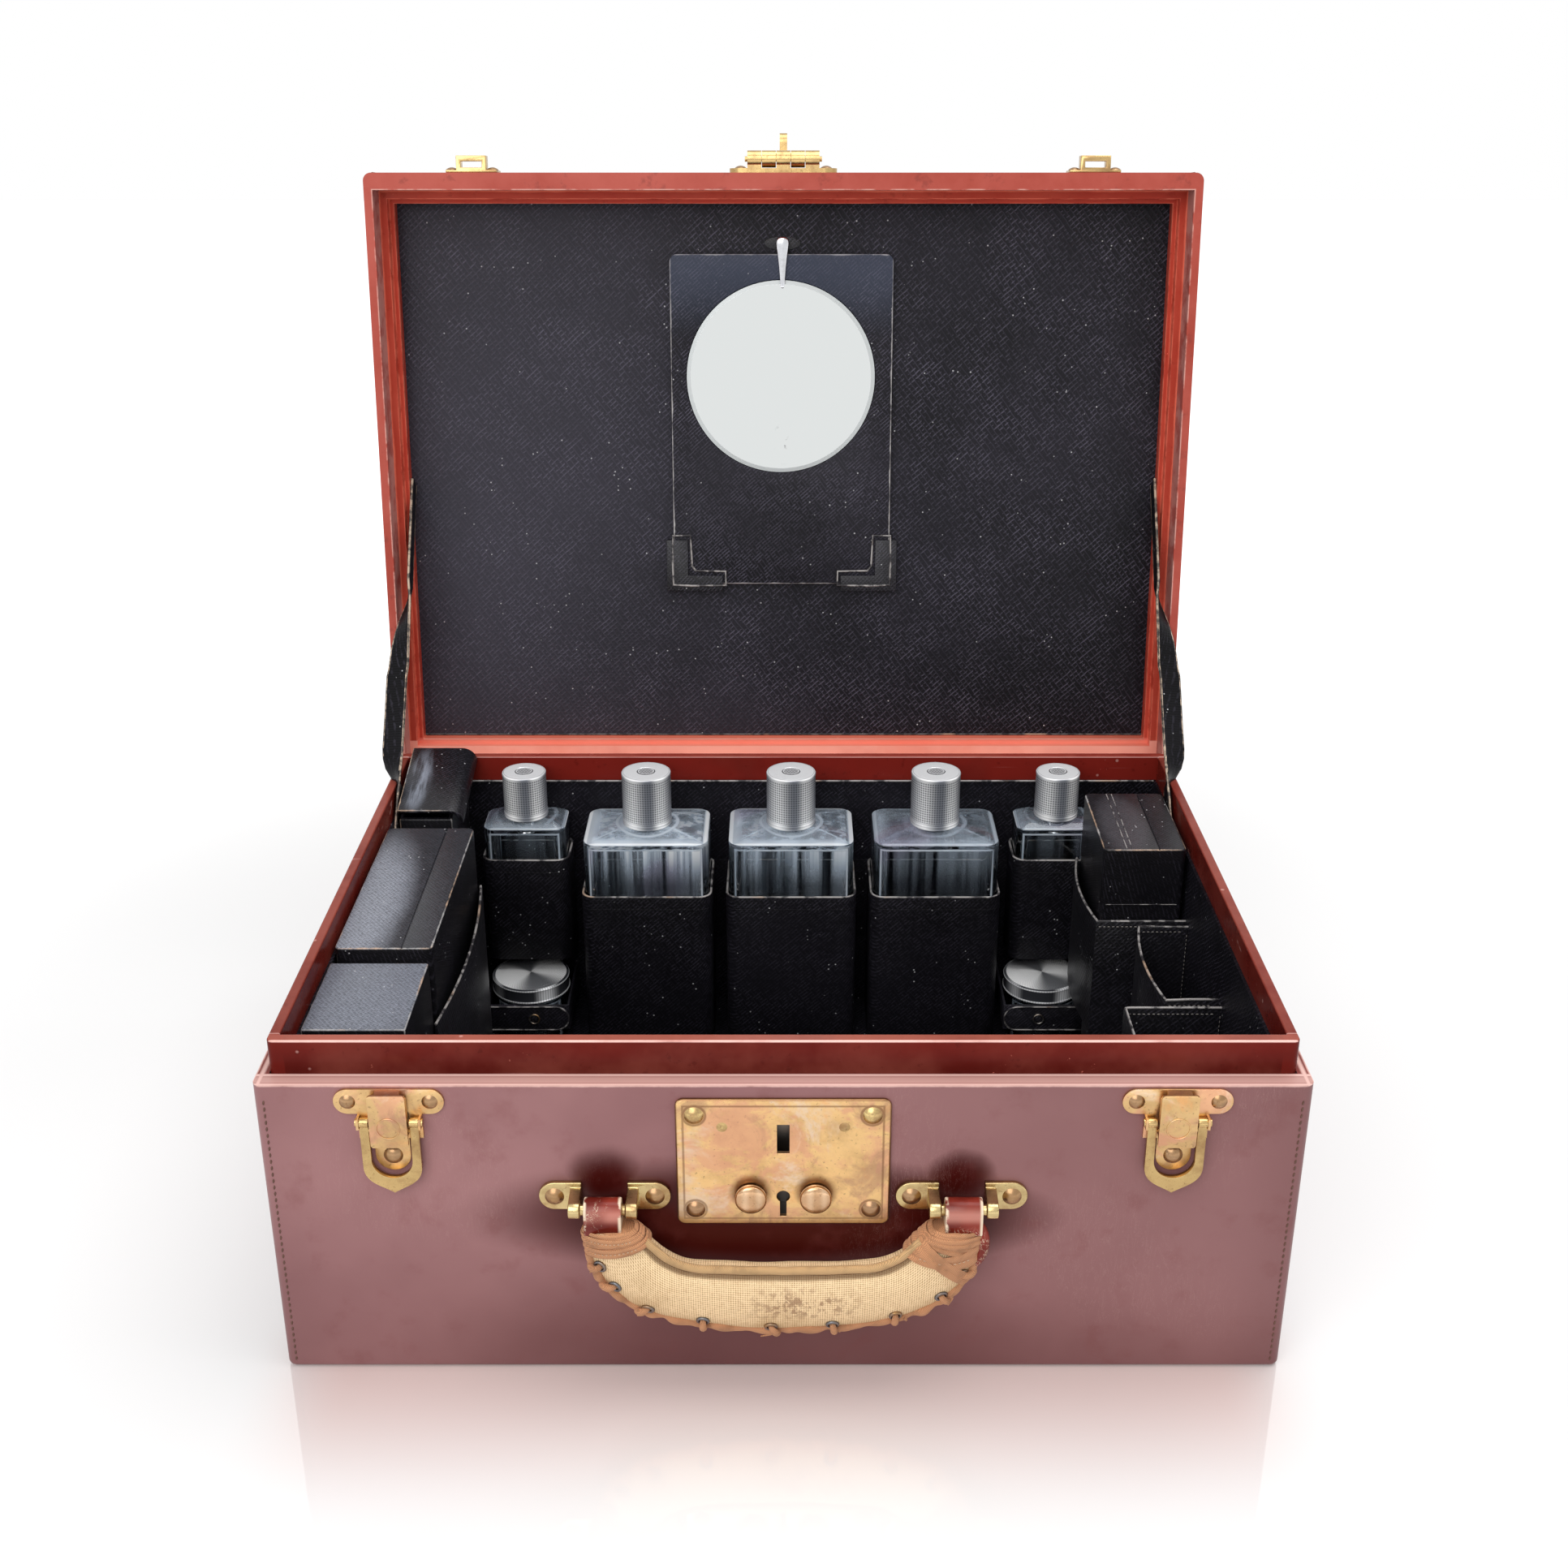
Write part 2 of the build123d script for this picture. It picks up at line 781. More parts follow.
tongue_back = -half_depth - tongue_standoff
tongue_front = tongue_back - tongue_thickness
tongue_top = base_height - tongue_top_drop
tongue_end = base_height - tongue_end_drop
tongue_half = arm_inside - tongue_side_gap
for side in latch_sides:
    x = side * latch_x
    with BuildPart() as latch_tongue:
        with BuildSketch(Plane.XZ.offset(-tongue_back)):
            with Locations((x, (tongue_top + tongue_end) / 2)):
                RectangleRounded(2 * tongue_half, tongue_top - tongue_end, tongue_thickness)
        extrude(amount=tongue_thickness)
        for hand in (-1, 1):
            fold = (x + hand * (tongue_half - tongue_thickness), x + hand * tongue_half)
            block(
                fold,
                (tongue_front, pin_y),
                (link_z - link_eye, link_z - link_eye + tongue_fold),
            )
            rod(link_eye, fold, pin_y, link_z)
        rod(link_radius + running_fit, (x - arm_outer, x + arm_outer), pin_y, link_z, Mode.SUBTRACT)
        block(
            (x - hook_width / 2, x + hook_width / 2),
            (tongue_front, -half_depth - latch_plate - fit),
            (tongue_top - hook_thickness, tongue_top),
        )
    save(latch_tongue, f"latch_tongue_{mirrored_name(side)}")

# ---------------------------------------------------------------- handle
bar_y = -half_depth - bar_standoff
bar_z = bracket_height
arm_outside = arm_inner + bracket_arm
bracket_face = Plane.XZ.offset(half_depth + bracket_plate)
handle_sides = (-bracket_x, bracket_x)

with BuildPart() as handle_brackets:
    for x in handle_sides:
        with BuildSketch(front_face):
            with Locations((x, bar_z)):
                SlotCenterToCenter(2 * bracket_rivet, 2 * bracket_ear)
        extrude(amount=bracket_plate)
        block(
            (x - arm_inner, x + arm_inner),
            (-half_depth - 2 * bracket_plate, -half_depth),
            (bar_z - 2 * bracket_ear, bar_z + 2 * bracket_ear),
            Mode.SUBTRACT,
        )
        for hand in (-1, 1):
            with BuildSketch(Plane.YZ.offset(x + hand * (arm_inner + bracket_arm / 2))):
                with BuildLine():
                    Polyline(
                        (-half_depth, bar_z - bracket_arm_height / 2),
                        (-half_depth, bar_z + bracket_arm_height / 2),
                        (bar_y, bar_z + arm_end_radius),
                        (bar_y, bar_z - arm_end_radius),
                        close=True,
                    )
                make_face()
                with Locations((bar_y, bar_z)):
                    Circle(arm_end_radius)
            extrude(amount=bracket_arm / 2, both=True)
        rod(bar_radius, (x - arm_outside, x + arm_outside), bar_y, bar_z)
save(handle_brackets, "handle_brackets")

loop_bore = bar_radius + fit
loop_outer = loop_bore + loop_wall
handle_plane = Plane.XZ.offset(-bar_y)

def inset(points, amount):
    """The points of an open run moved sideways, to its right, by the amount."""
    moved = []
    for number, (x, z) in enumerate(points):
        before = points[max(number - 1, 0)]
        after = points[min(number + 1, len(points) - 1)]
        run, rise = after[0] - before[0], after[1] - before[1]
        length = sqrt(run**2 + rise**2)
        moved.append((x + amount * rise / length, z - amount * run / length))
    return moved


def crescent(amount):
    """Outline of the hanging grip, smaller all round by the amount."""
    outer_run = inset(grip_outer, -amount)
    inner_run = inset(grip_inner, -amount)
    outer_run[0], outer_run[-1] = (amount - grip_end_x, grip_top), (grip_end_x - amount, grip_top)
    inner_run[0], inner_run[-1] = (grip_neck_x + amount, grip_top), (-grip_neck_x - amount, grip_top)
    with BuildSketch(handle_plane) as outline:
        with BuildLine():
            Spline(*outer_run)
            Line(outer_run[-1], inner_run[0])
            Spline(*inner_run)
            Line(inner_run[-1], outer_run[0])
        make_face()
    return outline.sketch


with BuildPart() as handle_grip:
    extrude(crescent(sleeve_wall + fit), amount=grip_thickness / 2, both=True)
    for x in handle_sides:
        rod(loop_outer, (x - loop_width / 2, x + loop_width / 2), bar_y, bar_z)
        block(
            (x - loop_width / 2, x + loop_width / 2),
            (bar_y - loop_outer, bar_y + loop_outer),
            (grip_top - leg_depth, bar_z),
        )
        rod(loop_bore, (x - loop_width, x + loop_width), bar_y, bar_z, Mode.SUBTRACT)
save(handle_grip, "handle_grip")

with BuildPart() as handle_sleeve:
    extrude(crescent(0), amount=sleeve_thickness / 2, both=True)
    fillet(handle_sleeve.edges().filter_by(Axis.Y, reverse=True), sleeve_round)
    extrude(crescent(sleeve_wall), amount=grip_thickness / 2 + fit, both=True, mode=Mode.SUBTRACT)
    for x in handle_sides:
        block(
            (x - loop_width / 2 - fit, x + loop_width / 2 + fit),
            (bar_y - grip_thickness / 2 - fit, bar_y + grip_thickness / 2 + fit),
            (grip_top - leg_depth, bar_z),
            Mode.SUBTRACT,
        )
save(handle_sleeve, "handle_sleeve")

# ---------------------------------------------------------------- rivets on the base
with BuildPart() as base_rivets:
    for side in latch_sides:
        x = side * latch_x
        ears = [(x - ear_spacing / 2, ear_z), (x + ear_spacing / 2, ear_z)]
        place(pin_rivet, plate_face, ears)
        place(plain_rivet, plate_face, [(x, stud_z)])
    for x in handle_sides:
        ears = [(x - bracket_rivet, bar_z), (x + bracket_rivet, bar_z)]
        place(plain_rivet, bracket_face, ears)
save(base_rivets, "base_rivets")

# ---------------------------------------------------------------- lid fittings

with BuildPart(lid_edge) as catch_plates:
    for side in latch_sides:
        x = side * latch_x
        block(
            (x - catch_plate_width / 2, x + catch_plate_width / 2),
            (catch_setback, catch_setback + catch_plate_depth),
            (0, catch_plate_thickness),
        )
        block(
            (x - catch_bridge_width / 2, x + catch_bridge_width / 2),
            (catch_setback, catch_setback + catch_bridge_depth),
            (0, catch_bridge_height),
        )
        block(
            (x - catch_slot_width / 2, x + catch_slot_width / 2),
            (0, catch_setback + catch_plate_depth),
            (
                catch_slot_centre - catch_slot_height / 2,
                catch_slot_centre + catch_slot_height / 2,
            ),
            Mode.SUBTRACT,
        )
save(catch_plates, "catch_plates")

hasp_knuckle = (hasp_width - 4 * hasp_clearance) / 5
hasp_reach = slot_drop + hasp_setback


def hasp_knuckles(numbers):
    """The numbered knuckles of the hasp's five-knuckle barrel."""
    for number in numbers:
        start = -hasp_width / 2 + number * (hasp_knuckle + hasp_clearance)
        rod(hasp_barrel, (start, start + hasp_knuckle), hasp_setback, hasp_standoff)


with BuildPart(lid_edge) as hasp_plate:
    with BuildSketch(lid_edge) as foot:
        with Locations((0, catch_setback + hasp_plate_depth / 2)):
            RectangleRounded(hasp_plate_width, hasp_plate_depth, hasp_plate_depth / 2 - fit)
    extrude(foot.sketch, amount=hasp_plate_thickness)
    for number in (0, 2, 4):
        start = -hasp_width / 2 + number * (hasp_knuckle + hasp_clearance)
        block(
            (start, start + hasp_knuckle),
            (hasp_setback - hasp_web, hasp_setback + hasp_web),
            (0, hasp_standoff),
        )
    hasp_knuckles((0, 2, 4))
    rod(hasp_pin_radius, (-hasp_width, hasp_width), hasp_setback, hasp_standoff, Mode.SUBTRACT)
save(hasp_plate, "hasp_plate")

with BuildPart(lid_edge) as hasp_pin:
    pin_end = hasp_width / 2 + hasp_pin_radius
    rod(hasp_pin_radius, (-pin_end, pin_end), hasp_setback, hasp_standoff)
save(hasp_pin, "hasp_pin")

tongue_level = hasp_standoff + hasp_tongue_lift
tongue_root = hasp_setback + hasp_barrel + hasp_clearance
staple_middle = hasp_setback + hasp_reach
with BuildPart(lid_edge) as hasp_tongue:
    hasp_knuckles((1, 3))
    for number in (1, 3):
        start = -hasp_width / 2 + number * (hasp_knuckle + hasp_clearance)
        block(
            (start, start + hasp_knuckle),
            (hasp_setback, tongue_root + hasp_tongue_thickness),
            (tongue_level, tongue_level + hasp_tongue_thickness),
        )
    shoulder_half = hasp_width / 2 - hasp_knuckle - hasp_clearance
    tongue_tip = staple_middle + hasp_tongue_past_slot
    with BuildSketch(lid_edge.offset(tongue_level)) as strip:
        with BuildLine():
            Polyline(
                (-shoulder_half, tongue_root),
                (shoulder_half, tongue_root),
                (hasp_tongue_width / 2, tongue_root + shoulder_half),
                (hasp_tongue_width / 2, tongue_tip - hasp_tongue_width / 2),
            )
            ThreePointArc(
                (hasp_tongue_width / 2, tongue_tip - hasp_tongue_width / 2),
                (0, tongue_tip),
                (-hasp_tongue_width / 2, tongue_tip - hasp_tongue_width / 2),
            )
            Polyline(
                (-hasp_tongue_width / 2, tongue_tip - hasp_tongue_width / 2),
                (-hasp_tongue_width / 2, tongue_root + shoulder_half),
                (-shoulder_half, tongue_root),
            )
        make_face()
    extrude(strip.sketch, amount=hasp_tongue_thickness)
    # the staple is a round-topped blade with an eye for the bolt
    staple_round = staple_height / 2
    staple_foot = tongue_level + hasp_tongue_thickness
    staple_shoulder = staple_foot + staple_length - staple_round
    block(
        (-staple_width / 2, staple_width / 2),
        (staple_middle - staple_round, staple_middle + staple_round),
        (tongue_level, staple_shoulder),
    )
    rod(staple_round, (-staple_width / 2, staple_width / 2), staple_middle, staple_shoulder)
    staple_eye = (-staple_width, staple_width)
    rod(staple_hole, staple_eye, staple_middle, staple_shoulder, Mode.SUBTRACT)
    rod(
        hasp_pin_radius + running_fit,
        (-hasp_width, hasp_width),
        hasp_setback,
        hasp_standoff,
        Mode.SUBTRACT,
    )
save(hasp_tongue, "hasp_tongue")

catch_rivet_x = (catch_plate_width + catch_bridge_width) / 4
catch_rivet_up = catch_setback + catch_bridge_depth / 2
with BuildPart() as lid_rivets:
    for side in latch_sides:
        x = side * latch_x
        spots = [(x - catch_rivet_x, catch_rivet_up), (x + catch_rivet_x, catch_rivet_up)]
        place(pin_rivet, lid_edge.offset(catch_plate_thickness), spots)
    spots = [(-hasp_rivet_x, hasp_rivet_up), (hasp_rivet_x, hasp_rivet_up)]
    place(pin_rivet, lid_edge.offset(hasp_plate_thickness), spots)
save(lid_rivets, "lid_rivets")

# ---------------------------------------------------------------- back hinge pins
with BuildPart() as hinge_pins:
    for hinge_x in hinge_positions:
        pin_end = hinge_length / 2
        rod(hinge_pin, (hinge_x - pin_end, hinge_x + pin_end), hinge_y, base_height)
save(hinge_pins, "hinge_pins")

# ---------------------------------------------------------------- mirror in the lid
board_front = panel_level + board_thickness
board_middle = (board_low + board_high) / 2
mirror_back = board_front + mirror_proud - mirror_thickness
board_half = board_width / 2

with BuildPart(lid_plane) as mirror_board:
    with BuildSketch(lid_plane.offset(panel_level)) as outline:
        with Locations((board_centre_x, board_middle)):
            RectangleRounded(board_width, board_high - board_low, corner_radius)
    extrude(outline.sketch, amount=board_thickness)
    with BuildSketch(lid_plane.offset(mirror_back)) as seat:
        with Locations((mirror_centre_x, mirror_centre_up)):
            Circle(mirror_radius + fit)
    extrude(seat.sketch, amount=mirror_thickness, mode=Mode.SUBTRACT)
save(mirror_board, "mirror_board")

with BuildPart(lid_plane) as mirror_glass:
    with BuildSketch(lid_plane.offset(mirror_back)) as disc:
        with Locations((mirror_centre_x, mirror_centre_up)):
            Circle(mirror_radius)
    extrude(disc.sketch, amount=mirror_thickness)
    front_edge = mirror_glass.faces().sort_by(Axis((0, 0, 0), lid_plane.z_dir))[-1].edges()
    chamfer(front_edge, mirror_bevel, mirror_bevel_width)
save(mirror_glass, "mirror_glass")

with BuildPart(lid_plane) as mirror_corners:
    for hand in (-1, 1):
        edge = board_centre_x + hand * (board_half + fit)
        outer = edge + hand * holder_wall
        low = board_low - fit - holder_wall
        block(
            (outer, outer - hand * holder_reach_x),
            (low, low + holder_foot),
            (panel_level, board_front + fit + holder_skin),
        )
        block(
            (outer, outer - hand * holder_arm),
            (low, low + holder_reach_up),
            (panel_level, board_front + fit + holder_skin),
        )
        block(
            (edge, edge - hand * board_width / 2),
            (board_low - fit, board_high),
            (panel_level, board_front + fit),
            Mode.SUBTRACT,
        )
save(mirror_corners, "mirror_corners")

clip_level = board_front + mirror_proud + clip_air
with BuildPart(lid_plane) as mirror_clip:
    with BuildSketch(lid_plane.offset(clip_level)) as drop:
        with Locations((clip_x, clip_up)):
            Circle(clip_head)
        with Locations((clip_x, clip_up - clip_length)):
            Circle(clip_tip)
        make_hull()
    extrude(drop.sketch, amount=clip_thickness)
    with BuildSketch(lid_plane.offset(panel_level)) as post:
        with Locations((clip_x, clip_up)):
            Circle(clip_post)
    extrude(post.sketch, amount=clip_level - panel_level)
save(mirror_clip, "mirror_clip")

with BuildPart(lid_plane) as clip_base:
    with BuildSketch(lid_plane.offset(panel_level)) as oval:
        with Locations((clip_x, clip_up)):
            Ellipse(clip_base_width / 2, clip_base_height / 2)
            Circle(clip_post + running_fit, mode=Mode.SUBTRACT)
    extrude(oval.sketch, amount=clip_base_thickness)
save(clip_base, "clip_base")

# ---------------------------------------------------------------- stay straps
lid_anchor = lid_plane.from_local_coords(Vector(0, strap_lid_up, -strap_lid_depth))
strap_rise = Vector(0, lid_anchor.Y - strap_base_y, lid_anchor.Z - lining_top)
strap_angle = atan2(strap_rise.Z, strap_rise.Y)
strap_half = strap_width / 2
across = (strap_half * sin(strap_angle), strap_half * cos(strap_angle))
with BuildPart() as stay_straps:
    for side in (-1, 1):
        middle = side * (lined_x - strap_thickness / 2)
        with BuildSketch(Plane.YZ.offset(middle)) as strip:
            with BuildLine():
                Polyline(
                    (strap_base_y - strap_half, lining_top - strap_base_tail),
                    (strap_base_y + strap_half, lining_top - strap_base_tail),
                    (strap_base_y + strap_half, lining_top),
                    (lid_anchor.Y + across[0], lid_anchor.Z - across[1]),
                    (lid_anchor.Y - across[0], lid_anchor.Z + across[1]),
                    (strap_base_y - strap_half, lining_top),
                    close=True,
                )
            make_face()
        extrude(strip.sketch, amount=strap_thickness / 2, both=True)
        # pad that joins the strap's upper end to the lid's cove moulding
        with Locations(lid_plane):
            pad = (side * (lined_x - strap_thickness), side * (cavity_x - cove_width))
            block(
                pad,
                (strap_lid_up - strap_half, strap_lid_up + strap_half),
                (panel_level, panel_level + strap_half),
            )
save(stay_straps, "stay_straps")

# ---------------------------------------------------------------- bottle rack
back_face = lined_back
large_socket_depth = large_depth + 2 * (bottle_play + socket_skin)
small_socket_width = small_width + 2 * (bottle_play + socket_skin)
small_socket_depth = small_depth + 2 * (bottle_play + socket_skin)
large_y = back_face - large_socket_depth / 2
small_y = back_face - small_socket_depth / 2
large_xs = (rack_centre_x - large_pitch, rack_centre_x, rack_centre_x + large_pitch)
small_xs = (rack_centre_x - small_offset, rack_centre_x + small_offset)
large_floor = floor_top + socket_skin
small_floor = small_socket_bottom + socket_skin
board_end = small_offset + small_socket_width / 2

sockets = [
    (x, large_y, large_socket_width, large_socket_depth, floor_top, large_socket_top)
    for x in large_xs
]
sockets += [
    (x, small_y, small_socket_width, small_socket_depth, small_socket_bottom, small_socket_top)
    for x in small_xs
]
with BuildPart() as bottle_rack:
    block(
        (rack_centre_x - board_end, rack_centre_x + board_end),
        (back_face - socket_skin, back_face),
        (small_socket_bottom, large_socket_top - rack_tab_drop),
    )
    for x, y, width, depth, low, high in sockets:
        with BuildSketch(Plane.XY.offset(low)):
            with Locations((x, y)):
                RectangleRounded(width, depth, socket_corner)
        extrude(amount=high - low)
    for x, y, width, depth, low, high in sockets:
        with BuildSketch(Plane.XY.offset(low + socket_skin)):
            with Locations((x, y)):
                RectangleRounded(
                    width - 2 * socket_skin, depth - 2 * socket_skin, socket_corner - socket_skin
                )
        extrude(amount=high - low, mode=Mode.SUBTRACT)
save(bottle_rack, "bottle_rack")

# ---------------------------------------------------------------- bottles and caps
large_names = ("left", "centre", "right")
small_names = ("far_left", "far_right")
shoulder_top = large_shoulder + shoulder_rise
bottles = [
    (name, x, large_y, large_width, large_depth, large_corner, large_floor, large_neck)
    for name, x in zip(large_names, large_xs)
]
bottles += [
    (name, x, small_y, small_width, small_depth, small_corner, small_floor, small_neck)
    for name, x in zip(small_names, small_xs)
]
for name, x, y, width, depth, corner, low, neck in bottles:
    with BuildPart() as bottle:
        with BuildSketch(Plane.XY.offset(low)):
            with Locations((x, y)):
                RectangleRounded(width, depth, corner)
        extrude(amount=large_shoulder - low)
        fillet(bottle.faces().sort_by(Axis.Z)[0].edges(), bottle_foot_round)
        with BuildSketch(Plane.XY.offset(large_shoulder)):
            with Locations((x, y)):
                RectangleRounded(width, depth, corner)
        with BuildSketch(Plane.XY.offset(shoulder_top)):
            with Locations((x, y)):
                RectangleRounded(
                    width - depth + 2 * (neck + 1), 2 * (neck + 1), corner / 2
                )
        loft()
        with Locations((x, y, shoulder_top + neck_height / 2)):
            Cylinder(neck, neck_height)
        with BuildSketch(Plane.XY.offset(low + glass_bottom)):
            with Locations((x, y)):
                RectangleRounded(
                    width - 2 * glass_wall, depth - 2 * glass_wall, inner_corner
                )
        extrude(amount=large_shoulder - glass_wall - low - glass_bottom, mode=Mode.SUBTRACT)
        with Locations((x, y, shoulder_top)):
            Cylinder(neck_bore, 3 * neck_height, mode=Mode.SUBTRACT)
    save(bottle, f"bottle_{name}")

caps = [
    (name, x, large_y, large_cap_radius, large_cap_height, large_neck)
    for name, x in zip(large_names, large_xs)
]
caps += [
    (name, x, small_y, small_cap_radius, small_cap_height, small_neck)
    for name, x in zip(small_names, small_xs)
]
for name, x, y, radius, height, neck in caps:
    with BuildPart() as cap:
        with BuildSketch(Plane.XY.offset(shoulder_top)):
            with Locations((x, y)):
                Circle(radius)
        extrude(amount=height)
        fillet(cap.faces().sort_by(Axis.Z)[-1].edges(), cap_round)
        with BuildSketch(Plane.XY.offset(shoulder_top)):
            with Locations((x, y)):
                Circle(neck + fit)
        extrude(amount=neck_height + fit, mode=Mode.SUBTRACT)
        with BuildSketch(Plane.XY.offset(shoulder_top + cap_foot_height)):
            with Locations((x, y)):
                Circle(radius)
                Circle(radius - cap_foot_step, mode=Mode.SUBTRACT)
        extrude(amount=cap_foot_step, mode=Mode.SUBTRACT)
    save(cap, f"cap_{name}")

# ---------------------------------------------------------------- jars
jar_neck = jar_radius - jar_neck_step
jar_top = floor_top + jar_height
for side in (-1, 1):
    x = jar_centre_x + side * jar_half_spacing
    hand_name = mirrored_name(side)
    with BuildPart() as jar:
        with Locations((x, jar_centre_y, floor_top + jar_height / 2)):
            Cylinder(jar_radius, jar_height)
        fillet(jar.faces().sort_by(Axis.Z)[0].edges(), bottle_foot_round)
        with Locations((x, jar_centre_y, jar_top + jar_neck_height / 2)):
            Cylinder(jar_neck, jar_neck_height)
        with BuildSketch(Plane.XY.offset(floor_top + jar_bottom)):
            with Locations((x, jar_centre_y)):
                Circle(jar_radius - jar_wall)
        extrude(amount=jar_height + jar_neck_height, mode=Mode.SUBTRACT)
    save(jar, f"jar_{hand_name}")

    with BuildPart() as jar_lid:
        with Locations((x, jar_centre_y, jar_top + jar_lid_height / 2)):
            Cylinder(jar_lid_radius, jar_lid_height)
        fillet(jar_lid.faces().sort_by(Axis.Z)[-1].edges(), cap_round)
        with BuildSketch(Plane.XY.offset(jar_top)):
            with Locations((x, jar_centre_y)):
                Circle(jar_neck + fit)
        extrude(amount=jar_lid_height - jar_lid_skin, mode=Mode.SUBTRACT)
    save(jar_lid, f"jar_lid_{hand_name}")

# a fixed strap round the front of each jar and a loose tab pressed onto it
strap_y = jar_centre_y - jar_radius - fit
strap_z = (jar_strap_bottom, jar_strap_bottom + jar_strap_height)
with BuildPart() as jar_straps:
    for side in (-1, 1):
        x = jar_centre_x + side * jar_half_spacing
        outer = jar_strap_side + jar_strap_skin
        block((x - outer, x + outer), (strap_y - jar_strap_skin, back_face), strap_z)
        block(
            (x - jar_strap_side, x + jar_strap_side),
            (strap_y, back_face + 1),
            strap_z,
            Mode.SUBTRACT,
        )
save(jar_straps, "jar_straps")

tab_back = strap_y - jar_strap_skin
for side in (-1, 1):
    x = jar_centre_x + side * jar_half_spacing
    root = x + side * (jar_strap_side + jar_strap_skin)
    tip = x - side * jar_tab_past
    tab_half = jar_strap_height / 2
    tab_middle = jar_strap_bottom + tab_half
    with BuildPart() as jar_tab:
        with BuildSketch(Plane.XZ.offset(-tab_back)):
            with Locations(((root + tip + side * tab_half) / 2, tab_middle)):
                Rectangle(abs(root - tip) - tab_half, jar_strap_height)
            with Locations((tip + side * tab_half, tab_middle)):
                Circle(tab_half)
        extrude(amount=jar_strap_skin)
        snap_x = tip + side * snap_inset
        snap_face = Plane.XZ.offset(-tab_back + jar_strap_skin)
        place(domed_snap, snap_face, [(snap_x, tab_middle)])
    save(jar_tab, f"jar_tab_{mirrored_name(side)}")

# ---------------------------------------------------------------- leather partitions


def bowed_wall(x, bulge, y_span, z_span):
    """Upright leather wall along y whose middle bows sideways by the bulge."""
    low, high = y_span
    middle = (low + high) / 2
    with BuildSketch(Plane.XY.offset(z_span[0])) as footprint:
        with BuildLine():
            ThreePointArc((x, low), (x + bulge, middle), (x, high))
            Line((x, high), (x + leather, high))
            ThreePointArc((x + leather, high), (x + leather + bulge, middle), (x + leather, low))
            Line((x + leather, low), (x, low))
        make_face()
    extrude(footprint.sketch, amount=z_span[1] - z_span[0])


wall_x = pocket_wall_x - leather
pocket_z = (floor_top, pocket_top)
with BuildPart() as leather_partitions:
    # rear pocket: it stands on a floor above the jar
    bowed_wall(wall_x, -pocket_bulge, (rear_pocket_front, rear_pocket_back), (rear_pocket_floor, pocket_top))
    block((wall_x, pocket_wall_x), (rear_pocket_front, rear_pocket_low_back), (floor_top, rear_pocket_floor))
    block((wall_x, lined_x), (rear_pocket_front - leather, rear_pocket_front), pocket_z)
    block(
        (wall_x, lined_x),
        (rear_pocket_front, rear_pocket_back),
        (rear_pocket_floor, rear_pocket_floor + leather),
    )
    # middle pocket
    middle_x = middle_pocket_x - leather
    bowed_wall(middle_x, -pocket_bulge, (middle_pocket_front, middle_pocket_back), pocket_z)
    for y in (middle_pocket_front, middle_pocket_back - leather):
        block((middle_x, lined_x), (y, y + leather), pocket_z)
    # front pocket
    block((wall_x, pocket_wall_x), (lined_front, front_pocket_back), pocket_z)
    block((wall_x, lined_x), (front_pocket_back - leather, front_pocket_back), pocket_z)
    # divider beside the left-hand cases
    bowed_wall(
        -divider_x, divider_bulge, (divider_front, divider_back), (floor_top, divider_top)
    )
save(leather_partitions, "leather_partitions")

# ---------------------------------------------------------------- leather cases
boxes = (
    (
        "case_front_left",
        (-case_outer_x, -left_case_inner_x),
        (front_case_front, front_case_back),
        (floor_top, front_case_top),
    ),
    (
        "case_middle_left",
        (-case_outer_x, -left_case_inner_x),
        (middle_case_front, middle_case_back),
        (floor_top, middle_case_top),
    ),
    (
        "case_rear_right",
        (pocket_wall_x + 2 * fit, rear_case_outer_x),
        (rear_case_front, rear_case_back),
        (rear_pocket_floor + leather, rear_case_top),
    ),
)
for name, x_span, y_span, z_span in boxes:
    with BuildPart() as case:
        block(x_span, y_span, z_span)
        fillet(case.edges().filter_by(Axis.Z), case_corner)
        fillet(case.faces().sort_by(Axis.Z)[-1].edges(), case_edge)
        block(
            (x_span[0] + case_skin, x_span[1] - case_skin),
            (y_span[0] + case_skin, y_span[1] - case_skin),
            (z_span[0] + case_skin, z_span[1] - case_skin),
            Mode.SUBTRACT,
        )
        block(
            (x_span[1] - case_seam_inset - case_seam_width, x_span[1] - case_seam_inset),
            y_span,
            (z_span[1] - case_seam_depth, z_span[1]),
            Mode.SUBTRACT,
        )
    save(case, name)

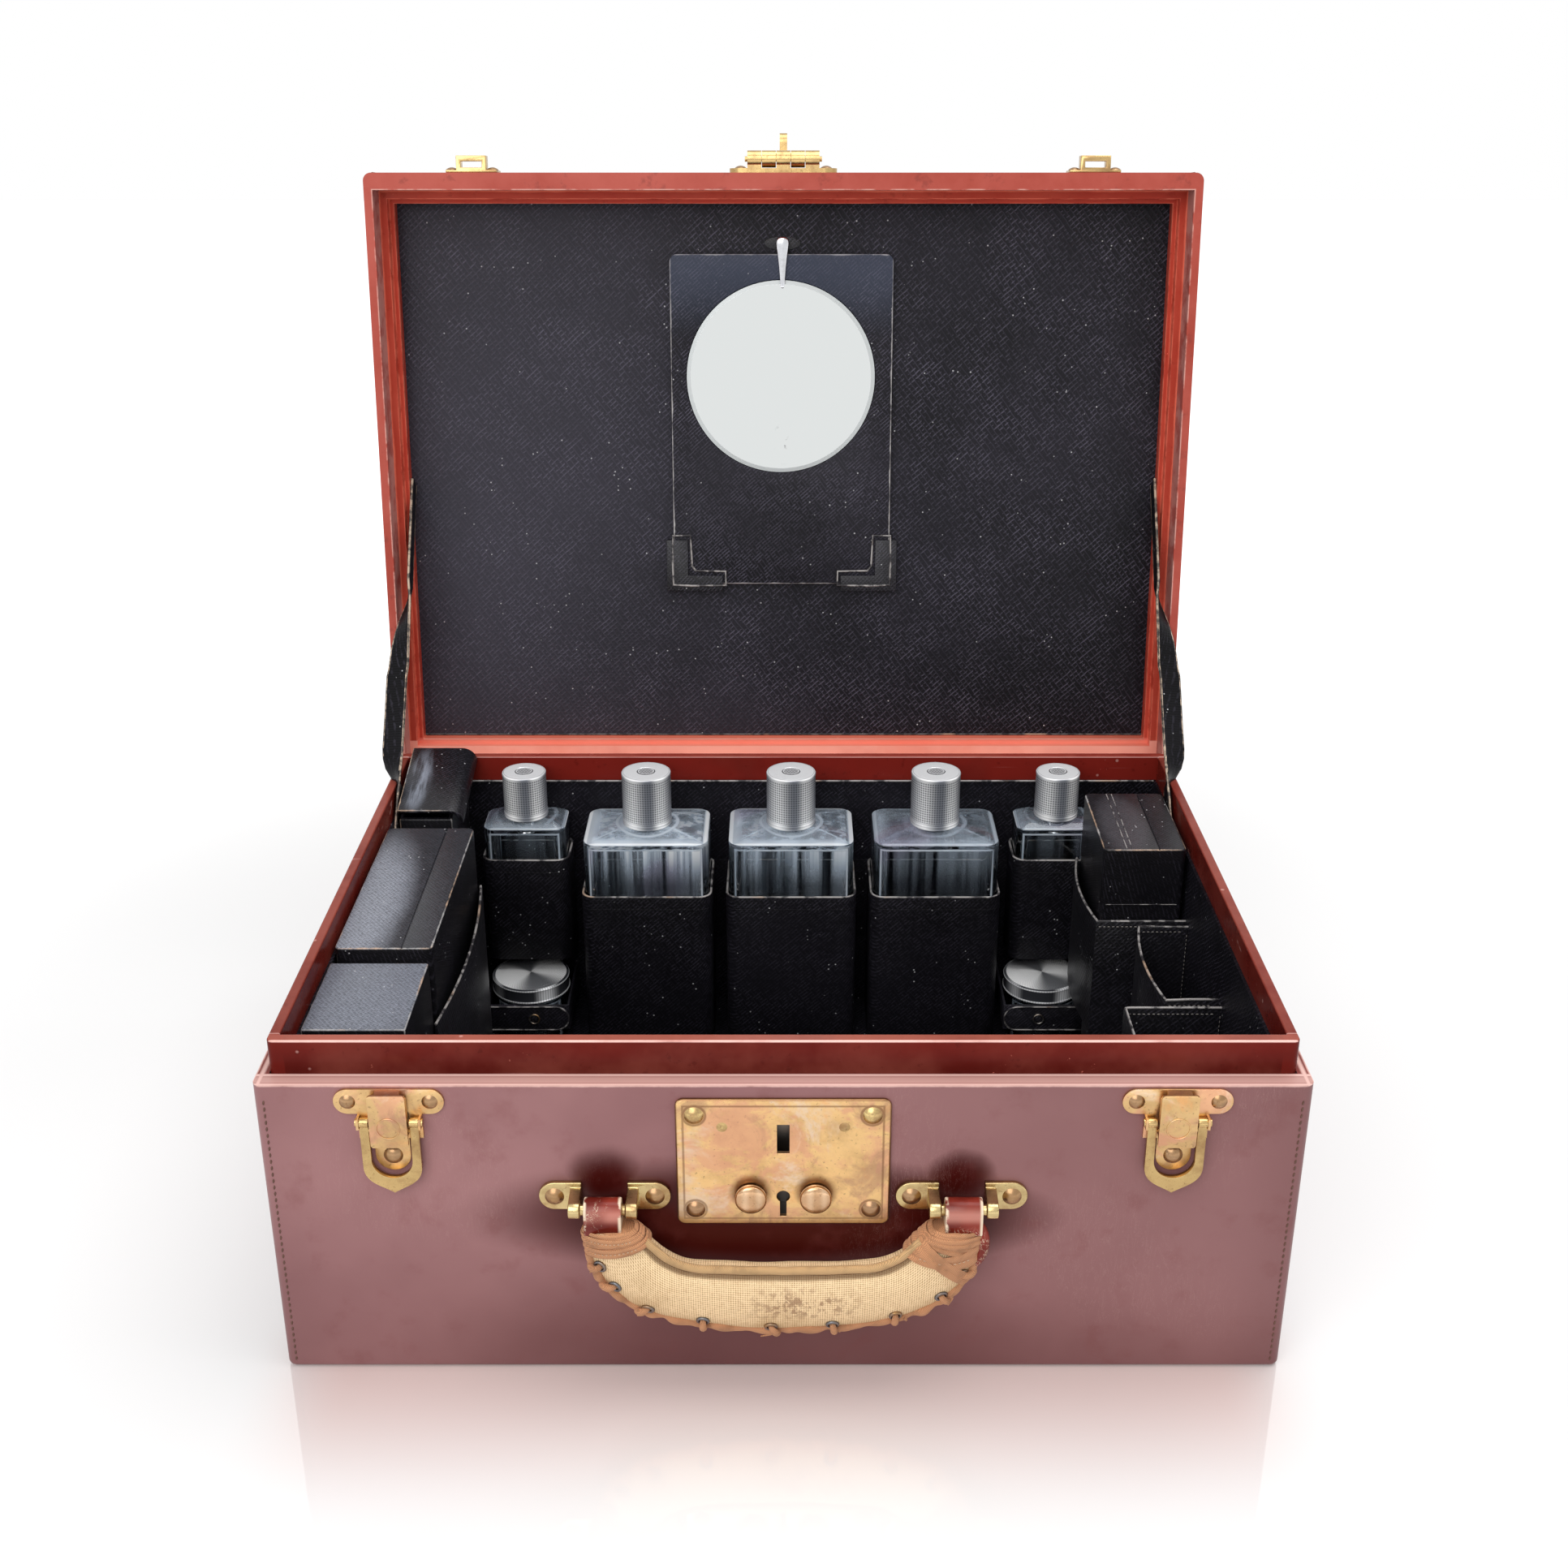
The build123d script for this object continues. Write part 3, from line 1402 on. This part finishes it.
flap_case_x = (-rear_case_outer_x, -flap_case_inner_x)
flap_case_y = (flap_case_front, back_face - fit)
flap_hinge_y = flap_case_y[1] - leather
flap_hinge_z = flap_case_back_top + flap_hinge_rise
with BuildPart() as flap_case:
    with BuildSketch(Plane.YZ.offset(flap_case_x[0])) as side_profile:
        with BuildLine():
            Polyline(
                (flap_case_y[0], floor_top),
                (flap_case_y[1], floor_top),
                (flap_case_y[1], flap_case_back_top),
                (flap_case_y[0], flap_case_front_top),
                close=True,
            )
        make_face()
    extrude(side_profile.sketch, amount=flap_case_x[1] - flap_case_x[0])
    block(
        (flap_case_x[0] + case_skin, flap_case_x[1] - case_skin),
        (flap_case_y[0] + case_skin, flap_case_y[1] - case_skin),
        (floor_top + case_skin, flap_case_back_top + 1),
        Mode.SUBTRACT,
    )
save(flap_case, "flap_case")

# the flap is drawn flat on its own sloping plane: x across, y back, z up from the hinge
slope = radians(flap_slope)
flap_plane = Plane(
    origin=(0, flap_hinge_y, flap_hinge_z), x_dir=(1, 0, 0), z_dir=(0, -sin(slope), cos(slope))
)
flap_length = flap_hinge_y - flap_case_front + flap_overhang
flap_inner = -flap_case_inner_x + flap_drape
flap_bend = flap_inner - flap_round
with BuildPart() as case_flap:
    flap_section = Plane(origin=flap_plane.origin, x_dir=(1, 0, 0), z_dir=-flap_plane.y_dir)
    with BuildSketch(flap_section) as section:
        with BuildLine():
            Line((flap_case_x[0], 0), (flap_case_x[0], flap_skin))
            Line((flap_case_x[0], flap_skin), (flap_bend, flap_skin))
            RadiusArc((flap_bend, flap_skin), (flap_inner, flap_skin - flap_round), flap_round)
            Line((flap_inner, flap_skin - flap_round), (flap_inner, -flap_skirt))
            Line((flap_inner, -flap_skirt), (flap_inner - flap_skin, -flap_skirt))
            Line((flap_inner - flap_skin, -flap_skirt), (flap_inner - flap_skin, flap_skin - flap_round))
            RadiusArc(
                (flap_inner - flap_skin, flap_skin - flap_round),
                (flap_bend, 0),
                -(flap_round - flap_skin),
            )
            Line((flap_bend, 0), (flap_case_x[0], 0))
        make_face()
    extrude(section.sketch, amount=flap_length)
save(case_flap, "case_flap")
